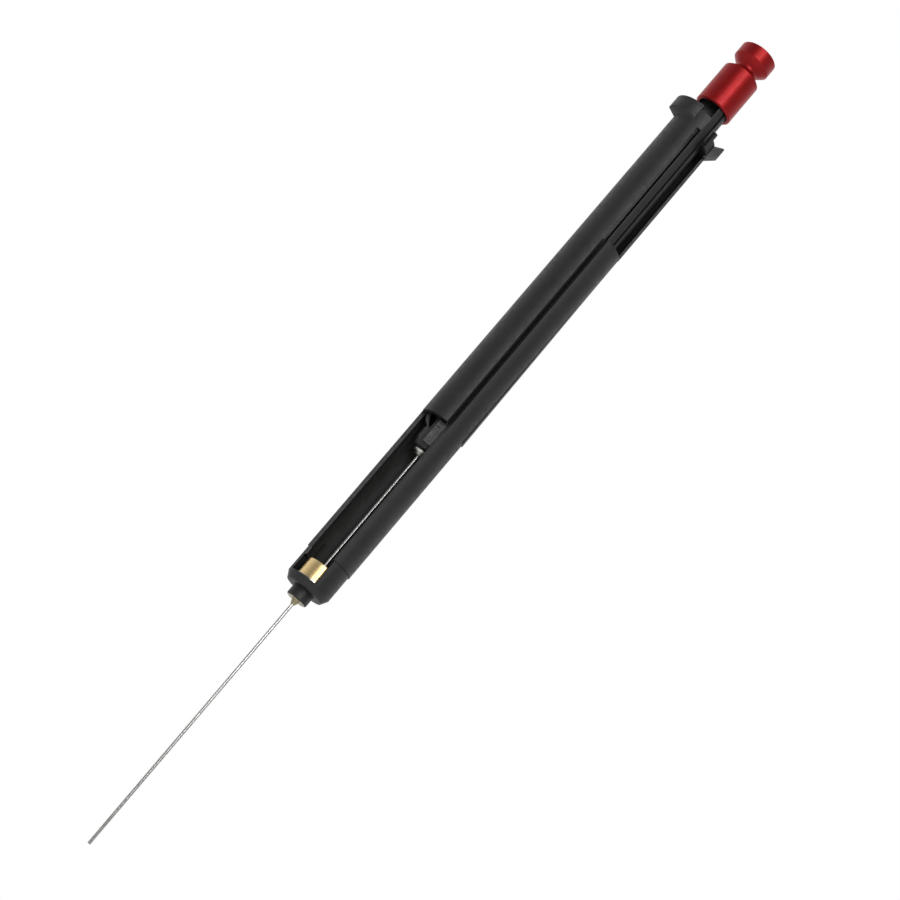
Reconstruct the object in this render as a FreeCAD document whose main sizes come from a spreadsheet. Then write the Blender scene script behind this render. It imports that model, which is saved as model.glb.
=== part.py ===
"""Autosampler needle cartridge: needle carrier, sliding guide and plunger, as separate pieces.

Frame: millimetres, +Z up along the barrel axis, origin at the needle tip on that axis.
The barrel's open side faces -Y, the flange stands out to -X and the hook to +X.
Angles round the axis are measured from +X towards +Y.
"""
import FreeCAD, Part
import math
import os
import Sketcher

DIMENSIONS = {
    # barrel sections: radii
    "carrier_radius": 5.0,
    "carrier_inner_radius": 4.05,
    "guide_radius": 4.925,
    "strip_radius": 5.0,
    "swell_radius": 5.14,
    "guide_inner_radius": 4.13,
    "track_inner_radius": 3.28,
    "groove_floor_radius": 3.65,
    "groove_clear_radius": 4.5,
    "stop_lug_radius": 3.72,
    # barrel sections: heights
    "shell_low": 99.6,
    "shell_high": 178.0,
    "flange_seat": 178.6,
    "flange_low": 177.7,
    "flange_high": 181.3,
    "collar_low": 176.95,
    "collar_high": 180.3,
    "track_low": 100.4,
    "track_high": 180.6,
    # flange lobe
    "flange_radius": 4.95,
    "flange_offset": 2.0,
    "flange_clear_inner": 3.5,
    "flange_clear_outer": 10.0,
    # sliding guide
    "guide_low": 66.1,
    "swell_low": 99.2,
    "swell_end": 138.0,
    "side_wall_high": 147.3,
    "opening_high": 175.2,
    "guide_high": 177.85,
    "tab_high": 179.2,
    "lug_low": 144.5,
    "lug_high": 146.5,
    "rail_inner_radius": 4.45,
    "swell_clear_radius": 6.0,
    "lug_root_radius": 4.6,
    "slide_travel": 27.0,
    "slide_play": 0.3,
    # bevelled edges along the front slot: corners of each bevel
    "shell_edge_out_x": 0.131,
    "shell_edge_out_y": 4.998,
    "shell_edge_in_x": 0.38,
    "shell_edge_in_y": 4.12,
    "guide_edge_out_x": 1.024,
    "guide_edge_out_y": 4.817,
    "guide_edge_in_x": 0.5,
    "guide_edge_in_y": 4.14,
    "nose_edge_out_x": 1.14,
    "nose_edge_out_y": 4.57,
    "nose_edge_in_x": 0.78,
    "nose_edge_in_y": 4.12,
    "shell_root_x": 0.3,
    "shell_root_in_y": 4.07,
    "shell_root_out_y": 4.94,
    "guide_root_in_x": 1.1,
    "guide_root_in_y": 4.0,
    "guide_root_out_x": 1.15,
    "guide_root_out_y": 4.78,
    "nose_root_x": 1.3,
    "nose_root_in_y": 3.45,
    "nose_root_out_y": 4.5,
    # hook
    "hook_root": 4.4,
    "hook_saddle": 4.95,
    "hook_reach": 6.76,
    "hook_saddle_height": 177.95,
    "hook_tip_height": 178.7,
    "hook_side_low": 176.8,
    "hook_bevel_low": 175.05,
    "hook_width": 2.4,
    "hook_root_low": 174.7,
    "hook_tip_inner": 6.36,
    # nose cap
    "nose_radius": 4.71,
    "nose_face_radius": 3.95,
    "nose_wall_radius": 3.5,
    "nose_thin_radius": 4.3,
    "nose_lip_radius": 4.0,
    "nose_lip_low": 64.5,
    "nose_low": 59.0,
    "nose_shoulder": 60.35,
    "nose_floor": 60.5,
    "spigot_high": 68.6,
    "nozzle_radius": 2.2,
    "nozzle_low": 56.75,
    "nozzle_chamfer": 0.2,
    "bush_bore_radius": 1.95,
    # nose inserts
    "countersink_radius": 1.85,
    "countersink_high": 57.65,
    "cone_shank_radius": 0.75,
    "cone_waist_high": 57.15,
    "cone_rim_radius": 0.95,
    "cone_rim_high": 56.85,
    "cone_tip_radius": 0.42,
    "cone_tip_low": 55.7,
    "cone_bore_radius": 0.37,
    "cone_funnel_radius": 0.65,
    "cone_funnel_low": 59.5,
    "ring_radius": 3.1,
    "ring_bore_radius": 1.9,
    "ring_high": 64.5,
    "ring_edge": 0.12,
    "washer_radius": 3.45,
    "washer_high": 60.95,
    # needle hub
    "hub_tip_radius": 2.2,
    "hub_radius": 2.75,
    "hub_low": 93.6,
    "hub_taper_high": 95.1,
    "hub_high": 109.5,
    "pad_low": 94.3,
    "pad_high": 99.5,
    "pad_half_width": 1.3,
    "pad_reach": 3.15,
    "pad_window_low": 94.9,
    "pad_window_high": 98.3,
    "pad_window_left": 1.2,
    "pad_window_right": 0.12,
    "pad_window_floor": 2.85,
    "pad_clear": 3.5,
    "pad_root": 1.0,
    "arm_outer": 3.95,
    "arm_inner": 3.15,
    "arm_high": 100.3,
    "arm_bend_high": 99.5,
    "arm_root": 1.75,
    "arm_root_high": 97.4,
    "arm_root_low": 96.9,
    "arm_elbow_in": 2.6,
    "arm_elbow_in_high": 98.25,
    "arm_elbow_out": 3.5,
    "arm_elbow_out_high": 98.5,
    "arm_width": 1.6,
    "clip_gap_side": 1.8,
    "clip_gap_low": 97.2,
    "clip_gap_high": 100.2,
    "clip_clear": 3.6,
    # needle, nut, ferrule, seal
    "needle_radius": 0.32,
    "needle_bore_radius": 0.17,
    "needle_high": 102.0,
    "nut_radius": 1.8,
    "nut_top_radius": 1.4,
    "nut_low_radius": 0.5,
    "nut_low": 92.0,
    "nut_belt": 93.0,
    "nut_shank_radius": 1.25,
    "nut_high": 97.4,
    "ferrule_radius": 1.0,
    "ferrule_tip_radius": 0.5,
    "ferrule_high": 99.0,
    "wire_hole_radius": 0.13,
    "seal_low": 104.0,
    "seal_high": 107.0,
    "seal_radius": 1.6,
    "seal_cap_radius": 2.2,
    "seal_cap_high": 109.0,
    "seal_cap_hole_radius": 0.4,
    # plunger
    "stem_radius": 3.2,
    "stem_core_radius": 2.6,
    "stem_rib_root": 2.2,
    "stem_clear": 4.2,
    "stem_low": 109.8,
    "stem_foot_high": 117.5,
    "stem_boss_low": 185.0,
    "stem_high": 188.0,
    "stem_cut_x": 0.7,
    "stem_cut_y": 0.25,
    "stud_radius": 1.0,
    "stud_low": 185.3,
    "stud_high": 192.4,
    "crimp_radius": 1.0,
    "crimp_low": 110.1,
    "crimp_high": 115.5,
    "wire_radius": 0.1,
    "wire_low": 0.6,
    "wire_high": 115.0,
    "coating_radius": 0.15,
    "coating_high": 10.6,
    # knob
    "knob_radius": 4.0,
    "knob_bore_radius": 3.32,
    "knob_low": 183.85,
    "knob_rim_chamfer": 0.3,
    "knob_bore_high": 188.0,
    "knob_shoulder_low": 193.25,
    "knob_neck_radius": 2.45,
    "knob_neck_low": 194.6,
    "knob_neck_high": 195.15,
    "knob_head_radius": 3.95,
    "knob_head_low": 196.7,
    "knob_high": 199.4,
    "knob_head_chamfer": 0.15,
    "knob_dimple_radius": 1.6,
    "knob_dimple_depth": 0.25,
}

# Angles round the axis, in degrees from +X towards +Y.
FULL_TURN = 360.0
LAP = 1.0
FRONT = -90.0
LEFT = -180.0
CARRIER_END = FRONT - 1.5
GUIDE_START = FRONT + 12.0
GUIDE_END = FRONT + 266.0
SWELL_START = FRONT + 72.0
SWELL_END = FRONT + 150.0
RAIL_START = FRONT + 87.0
STRIP_START = FRONT + 150.0
TAB_START = FRONT + 43.0
TAB_END = FRONT + 52.0
COLLAR_START = FRONT - 28.0
COLLAR_END = FRONT + 10.5
FLANGE_END = FRONT - 20.0
TRACK_START = FRONT + 150.0
TRACK_END = LEFT + 390.0
LUG_START = 80.0
LUG_END = 100.0
LUG_PLAY = 3.0
NOSE_START = FRONT + 14.0
NOSE_THICK_END = FRONT + 225.0
RIBS = [(14.0, 41.0), (52.0, 90.0), (98.0, 136.0), (144.0, 182.0), (190.0, 228.0), (236.0, 262.0)]

doc = FreeCAD.newDocument("needle_cartridge")
sheet = doc.addObject("Spreadsheet::Sheet", "Dims")
for row, (alias, value) in enumerate(DIMENSIONS.items(), start=1):
    sheet.set("A%d" % row, alias)
    sheet.set("B%d" % row, str(value))
    sheet.setAlias("B%d" % row, alias)
doc.recompute()

pieces = []


# ---- sizes from the sheet ------------------------------------------------------------------

def number(text):
    """Value of a sum of sheet aliases and plain numbers, such as "knob_low + knob_rim_chamfer"."""
    total = 0.0
    sign = 1.0
    for word in str(text).split():
        if word in ("+", "-"):
            sign = 1.0 if word == "+" else -1.0
        else:
            total += sign * float(DIMENSIONS.get(word, word))
            sign = 1.0
    return total


def bound(text):
    """The same sum as a FreeCAD expression that reads the sheet."""
    words = str(text).split()
    return " ".join("Dims." + word if word in DIMENSIONS else word for word in words)


# ---- sketches ------------------------------------------------------------------------------

def new_body(name):
    body = doc.addObject("PartDesign::Body", name)
    body.Label = name
    pieces.append(body)
    return body


def new_sketch(body, name, plane, height="0"):
    """A sketch on one of the body's origin planes, moved along its normal by height."""
    sketch = body.newObject("Sketcher::SketchObject", name)
    support = [item for item in body.Origin.OriginFeatures if item.Role == plane][0]
    sketch.AttachmentSupport = [(support, "")]
    sketch.MapMode = "FlatFace"
    if height != "0":
        sketch.AttachmentOffset = FreeCAD.Placement(
            FreeCAD.Vector(0, 0, number(height)), FreeCAD.Rotation())
        sketch.setExpression(".AttachmentOffset.Base.z", bound(height))
    return sketch


def bind(sketch, kind, *args):
    """Add a dimensional constraint whose value is the sheet expression given last."""
    index = sketch.addConstraint(Sketcher.Constraint(kind, *args[:-1], number(args[-1])))
    sketch.setExpression("Constraints[%d]" % index, bound(args[-1]))


def outline(sketch, points):
    """Closed outline of straight runs. Each point is a pair of sums of sheet aliases."""
    spots = [FreeCAD.Vector(number(across), number(along), 0) for across, along in points]
    for index, spot in enumerate(spots):
        sketch.addGeometry(Part.LineSegment(spots[index - 1], spot))
    for index, point in enumerate(points):
        following = (index + 1) % len(points)
        sketch.addConstraint(Sketcher.Constraint("Coincident", index, 2, following, 1))
        for axis, kind, text in ((-2, "DistanceX", point[0]), (-1, "DistanceY", point[1])):
            if text == "0":
                sketch.addConstraint(Sketcher.Constraint("PointOnObject", index, 2, axis))
            else:
                bind(sketch, kind, -1, 1, index, 2, text)


def circle(sketch, radius, centre_x="0", centre_y="0"):
    """A circle of the given radius, its centre at the given sums."""
    centre = FreeCAD.Vector(number(centre_x), number(centre_y), 0)
    index = sketch.addGeometry(Part.Circle(centre, FreeCAD.Vector(0, 0, 1), number(radius)))
    for axis, kind, text in ((-2, "DistanceX", centre_x), (-1, "DistanceY", centre_y)):
        if text == "0":
            sketch.addConstraint(Sketcher.Constraint("PointOnObject", index, 3, axis))
        else:
            bind(sketch, kind, -1, 1, index, 3, text)
    bind(sketch, "Radius", index, radius)


def sector(sketch, inner, outer, start, end):
    """A ring sector about the origin between two radii, from the start angle to the end angle."""
    turn = (math.radians(start), math.radians(end))
    rims = []
    for radius in (outer, inner):
        ring = Part.Circle(FreeCAD.Vector(), FreeCAD.Vector(0, 0, 1), number(radius))
        rims.append(sketch.addGeometry(Part.ArcOfCircle(ring, turn[0], turn[1])))
        sketch.addConstraint(Sketcher.Constraint("Coincident", rims[-1], 3, -1, 1))
        bind(sketch, "Radius", rims[-1], radius)
    for end_point, angle in ((1, turn[0]), (2, turn[1])):
        way = FreeCAD.Vector(math.cos(angle), math.sin(angle), 0)
        side = sketch.addGeometry(Part.LineSegment(way * number(inner), way * number(outer)))
        sketch.addConstraint(Sketcher.Constraint("Coincident", side, 1, rims[1], end_point))
        sketch.addConstraint(Sketcher.Constraint("Coincident", side, 2, rims[0], end_point))
        sketch.addConstraint(Sketcher.Constraint("PointOnObject", -1, 1, side))
        sketch.addConstraint(Sketcher.Constraint("Angle", side, angle))


# ---- features ------------------------------------------------------------------------------

def revolved(body, name, points, cut=False):
    """Turn an outline of (radius, height) points about the barrel axis."""
    sketch = new_sketch(body, name + "_outline", "XZ_Plane")
    outline(sketch, points)
    before = body.Shape.Volume if cut else 0.0
    turned = body.newObject("PartDesign::Groove" if cut else "PartDesign::Revolution", name)
    turned.Profile = sketch
    turned.ReferenceAxis = (sketch, ["V_Axis"])
    turned.Angle = 360.0
    doc.recompute()
    if cut:
        assert body.Shape.Volume < before, name + " cuts nothing"
    return turned


def raised(body, name, low, high, draw, *sizes):
    """Add the drawn section between two heights."""
    sketch = new_sketch(body, name + "_outline", "XY_Plane", low)
    draw(sketch, *sizes)
    pad = body.newObject("PartDesign::Pad", name)
    pad.Profile = sketch
    pad.Length = number(high) - number(low)
    pad.setExpression("Length", "%s - (%s)" % (bound(high), bound(low)))
    doc.recompute()
    return pad


def pocketed(body, name, low, high, draw, *sizes):
    """Take the drawn section away between two heights."""
    before = body.Shape.Volume
    sketch = new_sketch(body, name + "_outline", "XY_Plane", low)
    draw(sketch, *sizes)
    pocket = body.newObject("PartDesign::Pocket", name)
    pocket.Profile = sketch
    pocket.Reversed = True
    pocket.Length = number(high) - number(low)
    pocket.setExpression("Length", "%s - (%s)" % (bound(high), bound(low)))
    doc.recompute()
    assert body.Shape.Volume < before - 1e-4, name + " cuts nothing"
    return pocket


def crosswise(body, name, points, width):
    """Add an outline in the XZ plane, as thick as width and centred on that plane."""
    sketch = new_sketch(body, name + "_outline", "XZ_Plane")
    outline(sketch, points)
    pad = body.newObject("PartDesign::Pad", name)
    pad.Profile = sketch
    pad.SideType = "Symmetric"
    pad.Length = number(width)
    pad.setExpression("Length", bound(width))
    doc.recompute()
    return pad


def tube(name, inner, outer, low, high):
    """A plain round tube, or a rod where inner is "0"."""
    body = new_body(name)
    revolved(body, name + "_wall", [(inner, low), (outer, low), (outer, high), (inner, high)])
    return body


# ---- needle carrier ------------------------------------------------------------------------

def sloped_flange(body):
    """Off-centre disc that grows out of the barrel's round section through a sloped underside."""
    root = new_sketch(body, "flange_root", "XY_Plane", "flange_low")
    circle(root, "carrier_radius")
    rim = new_sketch(body, "flange_rim", "XY_Plane", "flange_seat")
    circle(rim, "flange_radius", "- flange_offset")
    slope = body.newObject("PartDesign::AdditiveLoft", "flange_slope")
    slope.Profile = root
    slope.Sections = [rim]
    doc.recompute()
    raised(body, "flange", "flange_seat", "flange_high", circle, "flange_radius", "- flange_offset")


def bevelled_edge(body, name, low, high, side, roots):
    """Straight strip along a wall's front edge, its face sloped from an outer to an inner corner.

    The side is the x sign of the corners named for the edge, and roots are points inside the wall.
    """
    corners = [(name + "_out_x", "- " + name + "_out_y"), (name + "_in_x", "- " + name + "_in_y")]
    if side < 0:
        corners[0] = ("- " + name + "_out_x", "- " + name + "_out_y")
    raised(body, name, low, high, outline, corners + roots)


def carrier_shell():
    """Quarter shell with the seat flange at its top and a collar round to the front."""
    body = new_body("carrier_shell")
    sloped_flange(body)
    pocketed(body, "flange_bore", "flange_low", "flange_high", circle, "carrier_inner_radius")
    pocketed(body, "flange_back", "flange_low", "flange_high", sector,
             "flange_clear_inner", "flange_clear_outer", FLANGE_END, FULL_TURN + LEFT)
    raised(body, "quarter_wall", "shell_low", "shell_high", sector,
           "carrier_inner_radius", "carrier_radius", LEFT, CARRIER_END)
    bevelled_edge(body, "shell_edge", "shell_low", "shell_high", -1, [
        ("- shell_root_x", "- shell_root_in_y"),
        ("- shell_root_x", "- shell_root_out_y")])
    raised(body, "collar", "collar_low", "collar_high", sector,
           "carrier_inner_radius", "carrier_radius", COLLAR_START, COLLAR_END)


def plunger_track():
    """Inner channel that the stem slides in, seated against the quarter shell."""
    body = new_body("plunger_track")
    raised(body, "channel", "track_low", "track_high", sector,
           "track_inner_radius", "carrier_inner_radius", TRACK_START, TRACK_END)
    pocketed(body, "stop_groove", "lug_low - slide_play", "lug_high + slide_travel + slide_play",
             sector, "groove_floor_radius", "groove_clear_radius",
             LUG_START - LUG_PLAY, LUG_END + LUG_PLAY)


def needle_hub():
    """Moulded hub that holds the needle: turned core, front pad with a window, side clip."""
    body = new_body("needle_hub")
    revolved(body, "core", [
        ("0", "hub_low"),
        ("hub_tip_radius", "hub_low"),
        ("hub_radius", "hub_taper_high"),
        ("hub_radius", "track_low"),
        ("track_inner_radius", "track_low"),
        ("track_inner_radius", "hub_high"),
        ("0", "hub_high")])
    raised(body, "pad", "pad_low", "pad_high", outline, [
        ("- pad_half_width", "- pad_reach"),
        ("pad_half_width", "- pad_reach"),
        ("pad_half_width", "- pad_root"),
        ("- pad_half_width", "- pad_root")])
    pocketed(body, "pad_window", "pad_window_low", "pad_window_high", outline, [
        ("- pad_window_left", "- pad_clear"),
        ("- pad_window_right", "- pad_clear"),
        ("- pad_window_right", "- pad_window_floor"),
        ("- pad_window_left", "- pad_window_floor")])
    pocketed(body, "clip_gap", "clip_gap_low", "clip_gap_high", outline, [
        ("- clip_gap_side", "- clip_clear"),
        ("- clip_gap_side", "clip_clear"),
        ("- clip_clear", "clip_clear"),
        ("- clip_clear", "- clip_clear")])
    crosswise(body, "clip", [
        ("- arm_root", "arm_root_low"),
        ("- arm_root", "arm_root_high"),
        ("- arm_elbow_in", "arm_elbow_in_high"),
        ("- arm_inner", "arm_bend_high"),
        ("- arm_inner", "arm_high"),
        ("- arm_outer", "arm_high"),
        ("- arm_outer", "arm_bend_high"),
        ("- arm_elbow_out", "arm_elbow_out_high")], "arm_width")
    bore = [
        ("0", "hub_low"),
        ("nut_shank_radius", "hub_low"),
        ("nut_shank_radius", "nut_high"),
        ("ferrule_radius", "nut_high"),
        ("ferrule_radius", "ferrule_high"),
        ("needle_radius", "ferrule_high"),
        ("needle_radius", "needle_high"),
        ("wire_hole_radius", "needle_high"),
        ("wire_hole_radius", "seal_low"),
        ("seal_radius", "seal_low"),
        ("seal_radius", "seal_high"),
        ("seal_cap_radius", "seal_high"),
        ("seal_cap_radius", "hub_high"),
        ("0", "hub_high")]
    revolved(body, "bore", bore, cut=True)


def needle_nut():
    body = new_body("needle_nut")
    revolved(body, "nut", [
        ("needle_radius", "nut_low"),
        ("nut_low_radius", "nut_low"),
        ("nut_radius", "nut_belt"),
        ("nut_top_radius", "hub_low"),
        ("nut_shank_radius", "hub_low"),
        ("nut_shank_radius", "nut_high"),
        ("needle_radius", "nut_high")])


def needle_ferrule():
    body = new_body("needle_ferrule")
    revolved(body, "ferrule", [
        ("needle_radius", "nut_high"),
        ("ferrule_radius", "nut_high"),
        ("ferrule_tip_radius", "ferrule_high"),
        ("needle_radius", "ferrule_high")])


# ---- sliding guide -------------------------------------------------------------------------

def guide_shell():
    """Long C-section shell, open to the front left, cut away at its upper right side."""
    body = new_body("guide_shell")
    raised(body, "side_wall", "guide_low", "side_wall_high", sector,
           "guide_inner_radius", "guide_radius", GUIDE_START, GUIDE_END)
    raised(body, "swell", "swell_low", "swell_end", sector,
           "guide_inner_radius", "swell_radius", SWELL_START, SWELL_END)
    revolved(body, "swell_taper", [
        ("swell_radius", "swell_low"),
        ("swell_clear_radius", "swell_low"),
        ("swell_clear_radius", "swell_end"),
        ("guide_radius", "swell_end")], cut=True)
    bevelled_edge(body, "guide_edge", "guide_low", "side_wall_high", 1, [
        ("guide_root_in_x", "- guide_root_in_y"),
        ("guide_root_out_x", "- guide_root_out_y")])
    raised(body, "back_wall", "side_wall_high", "guide_high", sector,
           "guide_inner_radius", "strip_radius", STRIP_START, GUIDE_END)
    raised(body, "rail", "side_wall_high", "guide_high", sector,
           "rail_inner_radius", "strip_radius", RAIL_START, STRIP_START + LAP)
    raised(body, "top_bridge", "opening_high", "guide_high", sector,
           "guide_inner_radius", "strip_radius", TAB_START, STRIP_START + LAP)
    raised(body, "tab", "opening_high", "tab_high", sector,
           "guide_inner_radius", "strip_radius", TAB_START, TAB_END)
    raised(body, "stop_lug", "lug_low", "lug_high", sector,
           "stop_lug_radius", "lug_root_radius", LUG_START, LUG_END)
    crosswise(body, "hook", [
        ("hook_root", "hook_root_low"),
        ("hook_saddle", "hook_bevel_low"),
        ("hook_reach", "hook_side_low"),
        ("hook_reach", "hook_tip_height"),
        ("hook_tip_inner", "hook_tip_height"),
        ("hook_saddle", "hook_saddle_height"),
        ("hook_root", "guide_high")], "hook_width")


def nose_cap():
    """Cap on the guide's lower end: stepped cup with a window, and the nozzle below it."""
    body = new_body("nose_cap")
    revolved(body, "floor", [
        ("bush_bore_radius", "nozzle_low"),
        ("nozzle_radius - nozzle_chamfer", "nozzle_low"),
        ("nozzle_radius", "nozzle_low + nozzle_chamfer"),
        ("nozzle_radius", "nose_low"),
        ("nose_face_radius", "nose_low"),
        ("nose_radius", "nose_shoulder"),
        ("nose_radius", "nose_floor"),
        ("bush_bore_radius", "nose_floor")])
    raised(body, "outer_wall", "nose_floor", "guide_low", sector,
           "nose_wall_radius", "nose_radius", NOSE_START, NOSE_THICK_END)
    raised(body, "left_wall", "nose_floor", "guide_low", sector,
           "nose_thin_radius", "nose_radius", NOSE_THICK_END - LAP, GUIDE_END)
    raised(body, "left_lip", "nose_lip_low", "guide_low", sector,
           "nose_lip_radius", "nose_radius", NOSE_THICK_END - LAP, GUIDE_END)
    bevelled_edge(body, "nose_edge", "nose_floor", "guide_low", 1, [
        ("nose_edge_in_x", "- nose_root_in_y"),
        ("nose_root_x", "- nose_root_in_y"),
        ("nose_root_x", "- nose_root_out_y")])
    raised(body, "spigot", "guide_low", "spigot_high", sector,
           "nose_wall_radius", "guide_inner_radius", NOSE_START, NOSE_THICK_END)


def nozzle_bush():
    """Metal lining of the nozzle, countersunk at its mouth."""
    body = new_body("nozzle_bush")
    revolved(body, "bush", [
        ("countersink_radius", "nozzle_low"),
        ("bush_bore_radius", "nozzle_low"),
        ("bush_bore_radius", "nose_floor"),
        ("cone_shank_radius", "nose_floor"),
        ("cone_shank_radius", "countersink_high")])


def needle_cone():
    """Funnel insert that steadies the needle where it leaves the nozzle."""
    body = new_body("needle_cone")
    revolved(body, "cone", [
        ("cone_bore_radius", "cone_tip_low"),
        ("cone_tip_radius", "cone_tip_low"),
        ("cone_rim_radius", "cone_rim_high"),
        ("cone_shank_radius", "cone_waist_high"),
        ("cone_shank_radius", "nose_floor"),
        ("cone_funnel_radius", "nose_floor"),
        ("cone_bore_radius", "cone_funnel_low")])


def magnet_ring():
    body = new_body("magnet_ring")
    revolved(body, "ring", [
        ("ring_bore_radius", "washer_high"),
        ("ring_radius", "washer_high"),
        ("ring_radius", "ring_high - ring_edge"),
        ("ring_radius - ring_edge", "ring_high"),
        ("ring_bore_radius", "ring_high")])


# ---- plunger -------------------------------------------------------------------------------

def ribbed_stem():
    """Long splined slider: fluted core, open front-left quarter, round foot and top boss."""
    body = new_body("ribbed_stem")
    raised(body, "core", "stem_low", "stem_high", circle, "stem_core_radius")
    for index, (start, end) in enumerate(RIBS, start=1):
        raised(body, "rib_%d" % index, "stem_low", "stem_high", sector,
               "stem_rib_root", "stem_radius", FRONT + start, FRONT + end)
    pocketed(body, "open_quarter", "stem_foot_high", "stem_boss_low", outline, [
        ("stem_cut_x", "- stem_cut_y"),
        ("- stem_clear", "- stem_cut_y"),
        ("- stem_clear", "- stem_clear"),
        ("stem_cut_x", "- stem_clear")])
    raised(body, "foot", "stem_low", "stem_foot_high", circle, "stem_radius")
    raised(body, "top_boss", "stem_boss_low", "stem_high", circle, "stem_radius")
    pocketed(body, "crimp_seat", "stem_low", "crimp_high", circle, "crimp_radius")
    pocketed(body, "stud_seat", "stud_low", "stem_high", circle, "stud_radius")


def plunger_knob():
    """Turned knob: cup over the stem, waist that a gripper holds, and head."""
    body = new_body("plunger_knob")
    revolved(body, "knob", [
        ("0", "stud_high"),
        ("stud_radius", "stud_high"),
        ("stud_radius", "knob_bore_high"),
        ("knob_bore_radius", "knob_bore_high"),
        ("knob_bore_radius", "knob_low"),
        ("knob_radius - knob_rim_chamfer", "knob_low"),
        ("knob_radius", "knob_low + knob_rim_chamfer"),
        ("knob_radius", "knob_shoulder_low"),
        ("knob_neck_radius", "knob_neck_low"),
        ("knob_neck_radius", "knob_neck_high"),
        ("knob_head_radius", "knob_head_low"),
        ("knob_head_radius", "knob_high - knob_head_chamfer"),
        ("knob_head_radius - knob_head_chamfer", "knob_high"),
        ("knob_dimple_radius", "knob_high"),
        ("0", "knob_high - knob_dimple_depth")])


carrier_shell()
plunger_track()
needle_hub()
needle_nut()
needle_ferrule()
tube("hub_seal", "wire_hole_radius", "seal_radius", "seal_low", "seal_high")
tube("seal_cap", "seal_cap_hole_radius", "seal_cap_radius", "seal_high", "seal_cap_high")
tube("needle_tube", "needle_bore_radius", "needle_radius", "0", "needle_high")
guide_shell()
nose_cap()
nozzle_bush()
needle_cone()
magnet_ring()
tube("pole_washer", "ring_bore_radius", "washer_radius", "nose_floor", "washer_high")
plunger_knob()
tube("knob_stud", "0", "stud_radius", "stud_low", "stud_high")
ribbed_stem()
tube("wire_crimp", "wire_radius", "crimp_radius", "crimp_low", "crimp_high")
tube("plunger_wire", "0", "wire_radius", "wire_low", "wire_high")
tube("fibre_coating", "wire_radius", "coating_radius", "wire_low", "coating_high")


# ---- checks and export ---------------------------------------------------------------------

doc.recompute()
for item in doc.Objects:
    if "Invalid" in item.State or "Error" in item.State:
        raise RuntimeError("%s did not build: %s" % (item.Label, item.State))
for piece in pieces:
    if piece.Shape.isNull() or not piece.Shape.isValid():
        raise RuntimeError(piece.Label + " has no valid shape")

os.makedirs("parts", exist_ok=True)
for piece in pieces:
    piece.Shape.exportStep("parts/%s.step" % piece.Label)
    box = piece.Shape.BoundBox
    print("%-16s solids %d  volume %9.3f  z %7.2f to %7.2f" % (
        piece.Label, len(piece.Shape.Solids), piece.Shape.Volume, box.ZMin, box.ZMax))
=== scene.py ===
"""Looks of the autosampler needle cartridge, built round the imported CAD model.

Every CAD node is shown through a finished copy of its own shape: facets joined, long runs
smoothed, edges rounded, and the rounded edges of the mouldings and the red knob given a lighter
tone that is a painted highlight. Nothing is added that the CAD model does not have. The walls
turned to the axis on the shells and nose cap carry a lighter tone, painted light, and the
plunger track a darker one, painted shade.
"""

import math

import bmesh
import bpy
from mathutils import Matrix, Vector


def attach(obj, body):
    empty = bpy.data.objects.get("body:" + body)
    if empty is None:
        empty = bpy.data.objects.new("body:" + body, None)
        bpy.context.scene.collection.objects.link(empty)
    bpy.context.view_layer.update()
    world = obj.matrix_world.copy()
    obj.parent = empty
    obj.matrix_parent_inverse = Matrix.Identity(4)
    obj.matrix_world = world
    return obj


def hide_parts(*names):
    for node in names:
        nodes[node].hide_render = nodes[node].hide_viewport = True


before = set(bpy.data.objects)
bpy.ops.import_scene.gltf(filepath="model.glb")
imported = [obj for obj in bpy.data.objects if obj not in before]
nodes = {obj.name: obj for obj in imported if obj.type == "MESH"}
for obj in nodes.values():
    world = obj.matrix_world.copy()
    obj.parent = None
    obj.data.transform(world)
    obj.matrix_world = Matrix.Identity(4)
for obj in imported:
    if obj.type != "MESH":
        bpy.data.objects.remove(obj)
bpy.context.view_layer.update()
MM = 0.001


# ---- materials -----------------------------------------------------------------------------

def shader(name, **values):
    """A new node material and its principled shader, with plain values on the shader's sockets."""
    material = bpy.data.materials.new(name)
    material.use_nodes = True
    principled = material.node_tree.nodes["Principled BSDF"]
    for socket, value in values.items():
        principled.inputs[socket.replace("_", " ")].default_value = value
    return material, principled


def noise(material, scale, detail=3.0, stretch=(1.0, 1.0, 1.0)):
    """A noise texture on object coordinates. Scale counts waves per metre."""
    tree = material.node_tree
    place = tree.nodes.new("ShaderNodeTexCoord")
    mapping = tree.nodes.new("ShaderNodeMapping")
    mapping.inputs["Scale"].default_value = stretch
    texture = tree.nodes.new("ShaderNodeTexNoise")
    texture.inputs["Scale"].default_value = scale
    texture.inputs["Detail"].default_value = detail
    tree.links.new(place.outputs["Object"], mapping.inputs["Vector"])
    tree.links.new(mapping.outputs["Vector"], texture.inputs["Vector"])
    return texture.outputs["Fac"]


def ramp(material, source, stops):
    """A colour ramp on the source. Stops are (position, colour) with grey given as one number."""
    node = material.node_tree.nodes.new("ShaderNodeValToRGB")
    while len(node.color_ramp.elements) < len(stops):
        node.color_ramp.elements.new(0.5)
    for element, (position, colour) in zip(node.color_ramp.elements, stops):
        element.position = position
        if isinstance(colour, (int, float)):
            colour = (colour, colour, colour)
        element.color = (*colour, 1.0)
    material.node_tree.links.new(source, node.inputs["Fac"])
    return node.outputs["Color"]


def bump(material, principled, source, distance, strength=1.0):
    node = material.node_tree.nodes.new("ShaderNodeBump")
    node.inputs["Distance"].default_value = distance
    node.inputs["Strength"].default_value = strength
    material.node_tree.links.new(source, node.inputs["Height"])
    material.node_tree.links.new(node.outputs["Normal"], principled.inputs["Normal"])


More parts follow.
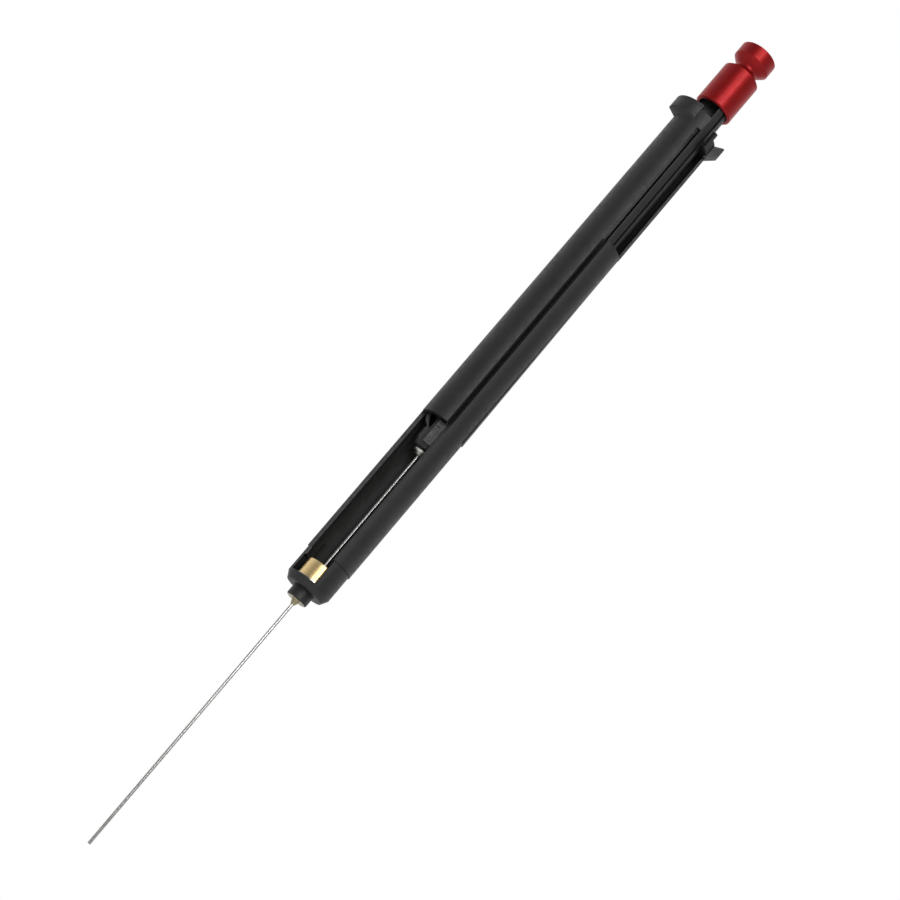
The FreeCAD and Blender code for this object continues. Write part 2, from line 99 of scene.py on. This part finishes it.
def mixed(material, factor, first, second, blend="MIX"):
    """Two colours mixed by a factor, which is a number or a source."""
    tree = material.node_tree
    node = tree.nodes.new("ShaderNodeMix")
    node.data_type = "RGBA"
    node.blend_type = blend
    if isinstance(factor, float):
        node.inputs["Factor"].default_value = factor
    else:
        tree.links.new(factor, node.inputs["Factor"])
    for socket, colour in (("A", first), ("B", second)):
        target = [item for item in node.inputs if item.name == socket and item.type == "RGBA"][0]
        if isinstance(colour, tuple):
            target.default_value = (*colour, 1.0)
        else:
            tree.links.new(colour, target)
    return [item for item in node.outputs if item.type == "RGBA"][0]


# How finely the mouldings' grain and pale specks are spaced.
GRAIN_SCALE = 5200.0


def moulding(name, tone, rough=(0.42, 0.58), grain=0.013 * MM, specular=0.5):
    """Black spark-eroded moulding: fine grain, faint flow mottle, a few pale specks."""
    material, principled = shader(name, Metallic=0.0, Specular_IOR_Level=specular)
    links = material.node_tree.links
    mottle = noise(material, 420.0, 4.0, (1.0, 1.0, 0.35))
    base = ramp(material, mottle, [(0.3, tuple(0.8 * c for c in tone)), (0.7, tuple(1.25 * c for c in tone))])
    speck = ramp(material, noise(material, GRAIN_SCALE, 1.0), [(0.74, 0.0), (0.79, 1.0)])
    links.new(mixed(material, speck, base, tuple(3.2 * c for c in tone)), principled.inputs["Base Color"])
    links.new(ramp(material, noise(material, 900.0, 3.0), [(0.3, rough[0]), (0.7, rough[1])]),
              principled.inputs["Roughness"])
    bump(material, principled, noise(material, GRAIN_SCALE, 2.0), grain)
    return material


def turned(name, colour, darker, rough, ring_scale=9000.0, ring_depth=0.0015 * MM, metallic=1.0, **values):
    """Lathe-turned metal: fine rings round the axis, faint tone bands, soft wear mottle."""
    material, principled = shader(name, Metallic=metallic, **values)
    links = material.node_tree.links
    rings = noise(material, ring_scale, 2.0, (0.02, 0.02, 1.0))
    mottle = noise(material, 700.0, 3.0)
    tone = mixed(material, ramp(material, mottle, [(0.35, 0.0), (0.7, 1.0)]), colour, darker)
    ring_tone = ramp(material, rings, [(0.3, 0.9), (0.7, 1.0)])
    links.new(mixed(material, 1.0, tone, ring_tone, "MULTIPLY"), principled.inputs["Base Color"])
    links.new(ramp(material, rings, [(0.25, rough[0]), (0.75, rough[1])]), principled.inputs["Roughness"])
    if ring_depth:
        bump(material, principled, rings, ring_depth)
    return material


BLACK = (0.0105, 0.0105, 0.0112)
materials = {
    "black_moulding": moulding("black_moulding", BLACK),
    "black_hub_moulding": moulding("black_hub_moulding", (0.012, 0.012, 0.0125), (0.38, 0.55)),
    # Painted shade: a darker copy of the black moulding for the plunger track inside the carrier.
    "painted_shade_moulding": moulding("painted_shade_moulding", (0.0075, 0.0075, 0.0075), (0.5, 0.65)),
    # Painted light: a lighter copy of the black moulding for the walls turned to the axis, seen through the
    # openings.
    "painted_light_window_moulding": moulding("painted_light_window_moulding", (0.021, 0.021, 0.02), (0.5, 0.65)),
    # Painted highlight: a lighter, glossier copy of the black moulding for the rounded edges.
    "edge_highlight_moulding": moulding("edge_highlight_moulding", (0.055, 0.055, 0.056), (0.3, 0.42)),
    "red_anodised": turned("red_anodised", (0.36, 0.006, 0.008), (0.3, 0.005, 0.006), (0.42, 0.5),
                           ring_scale=14000.0, metallic=0.85, Coat_Weight=0.2, Coat_Roughness=0.3),
    # Painted highlight: a lighter, glossier red for the knob's rounded edges.
    "edge_highlight_red": turned("edge_highlight_red", (0.5, 0.03, 0.03), (0.42, 0.02, 0.02), (0.3, 0.4),
                         metallic=0.7, Coat_Weight=0.5, Coat_Roughness=0.28),
    "gold_plate": turned("gold_plate", (0.96, 0.74, 0.38), (0.9, 0.66, 0.3), (0.3, 0.4)),
    "brass": turned("brass", (0.66, 0.58, 0.4), (0.32, 0.28, 0.17), (0.2, 0.32)),
    "bush_steel": turned("bush_steel", (0.6, 0.55, 0.45), (0.5, 0.46, 0.38), (0.18, 0.28)),
    "nickel_nut": turned("nickel_nut", (0.85, 0.85, 0.78), (0.5, 0.5, 0.44), (0.24, 0.36)),
    "needle_steel": turned("needle_steel", (0.66, 0.65, 0.64), (0.6, 0.59, 0.58), (0.2, 0.24),
                           ring_scale=300.0, ring_depth=0.0, Specular_Tint=(0.25, 0.25, 0.25, 1.0)),
    "seal_rubber": moulding("seal_rubber", (0.16, 0.05, 0.035), (0.5, 0.6), 0.004 * MM),
    "sorbent_coating": moulding("sorbent_coating", (0.055, 0.05, 0.045), (0.6, 0.75), 0.004 * MM),
}


# ---- finished copies of the CAD nodes ------------------------------------------------------

def joined_mesh(node):
    """The node's mesh in a bmesh, split points joined, flat faces cleaned and cut back to triangles.

    A flat face with a window in it would fold over itself when its edges are rounded, so none stays whole.
    """
    mesh = bmesh.new()
    mesh.from_mesh(nodes[node].data)
    bmesh.ops.remove_doubles(mesh, verts=mesh.verts, dist=0.0005 * MM)
    bmesh.ops.dissolve_limit(mesh, angle_limit=math.radians(0.4), verts=mesh.verts, edges=mesh.edges)
    bmesh.ops.triangulate(mesh, faces=[face for face in mesh.faces if len(face.verts) > 4], ngon_method="BEAUTY")
    return mesh


def finished(node, body, look, edge_look=None, edge=0.08, inner_look=None, sharp=32.0):
    """A copy of the node with rounded edges that stands for it, edges finished in edge_look.

    The edge faces in edge_look are a painted highlight where it is the lighter edge moulding or red.
    The faces turned to the axis, the walls seen through the openings, are finished in inner_look,
    a lighter tone that is painted light.
    """
    mesh = joined_mesh(node)
    if edge:
        sharp_edges = [item for item in mesh.edges
                       if len(item.link_faces) == 2 and item.calc_face_angle() > math.radians(sharp)]
        # The rounded edge faces take material 1, the edge look; the lighter edge moulding and red are a painted
        # highlight.
        bmesh.ops.bevel(mesh, geom=sharp_edges, offset=edge * MM, offset_type="OFFSET",
                        segments=2, profile=0.5, affect="EDGES", clamp_overlap=True,
                        loop_slide=False, material=1 if edge_look else -1)
    mesh.normal_update()
    for face in mesh.faces:
        face.smooth = True
        outward = Vector((*face.calc_center_median().xy, 0.0)).normalized()
        # Faces turned to the axis take material 2, the inner look, a lighter tone that is painted light.
        if inner_look and face.material_index == 0 and face.normal.dot(outward) < -0.6:
            face.material_index = 2
    data = bpy.data.meshes.new(node + "_finished")
    mesh.to_mesh(data)
    mesh.free()
    data.materials.append(materials[look])
    if edge_look:
        data.materials.append(materials[edge_look])
    if inner_look:
        data.materials.append(materials[inner_look])
    data.set_sharp_from_angle(angle=math.radians(sharp))
    piece = bpy.data.objects.new(node + "_finished", data)
    bpy.context.scene.collection.objects.link(piece)
    weighted = piece.modifiers.new("weighted_normals", "WEIGHTED_NORMAL")
    weighted.keep_sharp = True
    weighted.weight = 80
    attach(piece, body)
    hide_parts(node)
    return piece


# The edge looks of the mouldings and the knob are painted highlights; the plunger track's look is painted shade.
FINISHES = [
    ("carrier_shell", "carrier", "black_moulding", "black_moulding", "edge_highlight_moulding", 0.1),
    ("plunger_track", "carrier", "black_moulding", "painted_shade_moulding", "edge_highlight_moulding", 0.05),
    ("needle_hub", "carrier", "black_hub_moulding", "black_hub_moulding", "edge_highlight_moulding", 0.1),
    ("needle_nut", "carrier", "nickel_nut", "nickel_nut", None, 0.05),
    ("needle_ferrule", "carrier", "brass", "brass", None, 0.0),
    ("hub_seal", "carrier", "seal_rubber", "seal_rubber", None, 0.05),
    ("seal_cap", "carrier", "black_hub_moulding", "black_hub_moulding", None, 0.05),
    ("needle_tube", "carrier", "needle_steel", "needle_steel", None, 0.01),
    ("guide_shell", "guide", "black_moulding", "black_moulding", "edge_highlight_moulding", 0.08),
    ("nose_cap", "guide", "black_moulding", "black_moulding", "edge_highlight_moulding", 0.08),
    ("nozzle_bush", "guide", "bush_steel", "bush_steel", None, 0.02),
    ("needle_cone", "guide", "brass", "brass", None, 0.015),
    ("magnet_ring", "guide", "gold_plate", "gold_plate", None, 0.1),
    ("pole_washer", "guide", "bush_steel", "bush_steel", None, 0.04),
    ("plunger_knob", "plunger", "red_anodised", "red_anodised", "edge_highlight_red", 0.1),
    ("knob_stud", "plunger", "needle_steel", "needle_steel", None, 0.05),
    ("ribbed_stem", "plunger", "black_moulding", "black_moulding", "edge_highlight_moulding", 0.05),
    ("wire_crimp", "plunger", "brass", "brass", None, 0.05),
    ("plunger_wire", "plunger", "needle_steel", "needle_steel", None, 0.0),
    ("fibre_coating", "plunger", "sorbent_coating", "sorbent_coating", None, 0.0),
]
# Faces turned to the axis on these nodes get the lighter moulding, painted light.
INNER_LOOKS = {"carrier_shell": "painted_light_window_moulding", "guide_shell": "painted_light_window_moulding", "nose_cap": "painted_light_window_moulding"}
for node, body, slot, look, edge_look, edge in FINISHES:
    finished(node, body, look, edge_look, edge, INNER_LOOKS.get(node))


# ---- floor, light and camera ---------------------------------------------------------------

FLOOR_HEIGHT = -0.3
FLOOR_HALF = 2.2


def studio_floor():
    """Plain pale floor, well below the needle tip."""
    mesh = bpy.data.meshes.new("studio_floor")
    corners = [(-1, -1), (1, -1), (1, 1), (-1, 1)]
    mesh.from_pydata([(x * FLOOR_HALF, y * FLOOR_HALF, FLOOR_HEIGHT) for x, y in corners], [], [(0, 1, 2, 3)])
    floor = bpy.data.objects.new("studio_floor", mesh)
    bpy.context.scene.collection.objects.link(floor)
    material, principled = shader("pale_floor", Metallic=0.0)
    tint = ramp(material, noise(material, 6.0, 2.0), [(0.3, 0.9), (0.7, 0.94)])
    material.node_tree.links.new(tint, principled.inputs["Base Color"])
    principled.inputs["Roughness"].default_value = 0.9
    mesh.materials.append(material)


def soft_light(name, power, size, spot, target):
    """A rectangular soft box at the spot, aimed at the target."""
    light = bpy.data.lights.new(name, "AREA")
    light.shape = "RECTANGLE"
    light.size, light.size_y = size
    light.energy = power
    item = bpy.data.objects.new(name, light)
    item.location = spot
    item.visible_camera = False
    item.rotation_euler = (Vector(target) - Vector(spot)).to_track_quat("-Z", "Y").to_euler()
    bpy.context.scene.collection.objects.link(item)


def studio_world():
    """White tent round the object: bright behind it, dimmer on the photographer's side."""
    world = bpy.data.worlds.new("studio")
    bpy.context.scene.world = world
    world.use_nodes = True
    tree = world.node_tree
    background = tree.nodes["Background"]
    place = tree.nodes.new("ShaderNodeTexCoord")
    split = tree.nodes.new("ShaderNodeSeparateXYZ")
    depth = tree.nodes.new("ShaderNodeMapRange")
    depth.inputs["From Min"].default_value = -1.0
    tree.links.new(place.outputs["Generated"], split.inputs["Vector"])
    tree.links.new(split.outputs["Y"], depth.inputs["Value"])
    shade = tree.nodes.new("ShaderNodeValToRGB")
    while len(shade.color_ramp.elements) < len(TENT_TONES):
        shade.color_ramp.elements.new(0.5)
    for element, (position, tone) in zip(shade.color_ramp.elements, TENT_TONES):
        element.position = position
        element.color = (tone, tone, tone, 1.0)
    tree.links.new(depth.outputs["Result"], shade.inputs["Fac"])
    tree.links.new(shade.outputs["Color"], background.inputs["Color"])
    backdrop = tree.nodes.new("ShaderNodeBackground")
    backdrop.inputs["Color"].default_value = (1.0, 1.0, 1.0, 1.0)
    rays = tree.nodes.new("ShaderNodeLightPath")
    either = tree.nodes.new("ShaderNodeMixShader")
    tree.links.new(rays.outputs["Is Camera Ray"], either.inputs["Fac"])
    tree.links.new(background.outputs["Background"], either.inputs[1])
    tree.links.new(backdrop.outputs["Background"], either.inputs[2])
    tree.links.new(either.outputs["Shader"], tree.nodes["World Output"].inputs["Surface"])


# Brightness of the tent from the photographer's side, 0, to the far side behind the object, 1.
TENT_TONES = [(0.14, 0.2), (0.25, 0.3), (0.36, 0.5), (0.5, 0.62), (0.64, 0.8), (0.82, 1.0)]
KEY_AZIMUTH = math.radians(12.0)
FILL_AZIMUTH = math.radians(-9.0)
BOX_ELEVATION = math.radians(18.0)
BOX_DISTANCE = 0.7
MIDDLE = Vector((0.0, 0.0, 0.12))

studio_floor()
studio_world()
bpy.context.scene.view_settings.view_transform = "Standard"
for name, azimuth, power, width in (("key_box", KEY_AZIMUTH, 1.9, 0.14), ("fill_box", FILL_AZIMUTH, 0.9, 0.1)):
    spot = MIDDLE + BOX_DISTANCE * Vector((
        math.sin(azimuth) * math.cos(BOX_ELEVATION),
        -math.cos(azimuth) * math.cos(BOX_ELEVATION),
        math.sin(BOX_ELEVATION)))
    soft_light(name, power, (width, 0.5), spot, MIDDLE)

# The photographer looks up at the standing part from a little below its tip, 15 degrees above level.
CAMERA_TARGET = Vector((3.737, 0.0, 97.06)) * MM
CAMERA_DISTANCE = 438.15 * MM
CAMERA_ELEVATION = math.radians(-15.0)
CAMERA_ROLL = math.radians(40.27)
CAMERA_LENS = 94.066
SENSOR = 36.0

forward = Vector((0.0, math.cos(CAMERA_ELEVATION), -math.sin(CAMERA_ELEVATION)))
level_right = forward.cross(Vector((0, 0, 1))).normalized()
level_up = level_right.cross(forward)
right = math.cos(CAMERA_ROLL) * level_right + math.sin(CAMERA_ROLL) * level_up
up = math.cos(CAMERA_ROLL) * level_up - math.sin(CAMERA_ROLL) * level_right
camera = bpy.data.objects.new("camera", bpy.data.cameras.new("camera"))
camera.data.lens = CAMERA_LENS
camera.data.sensor_width = SENSOR
camera.data.clip_start = 0.01
camera.data.clip_end = 20.0
camera.matrix_world = Matrix.Translation(CAMERA_TARGET - forward * CAMERA_DISTANCE) @ Matrix(
    (right, up, -forward)).transposed().to_4x4()
bpy.context.scene.collection.objects.link(camera)
bpy.context.scene.camera = camera
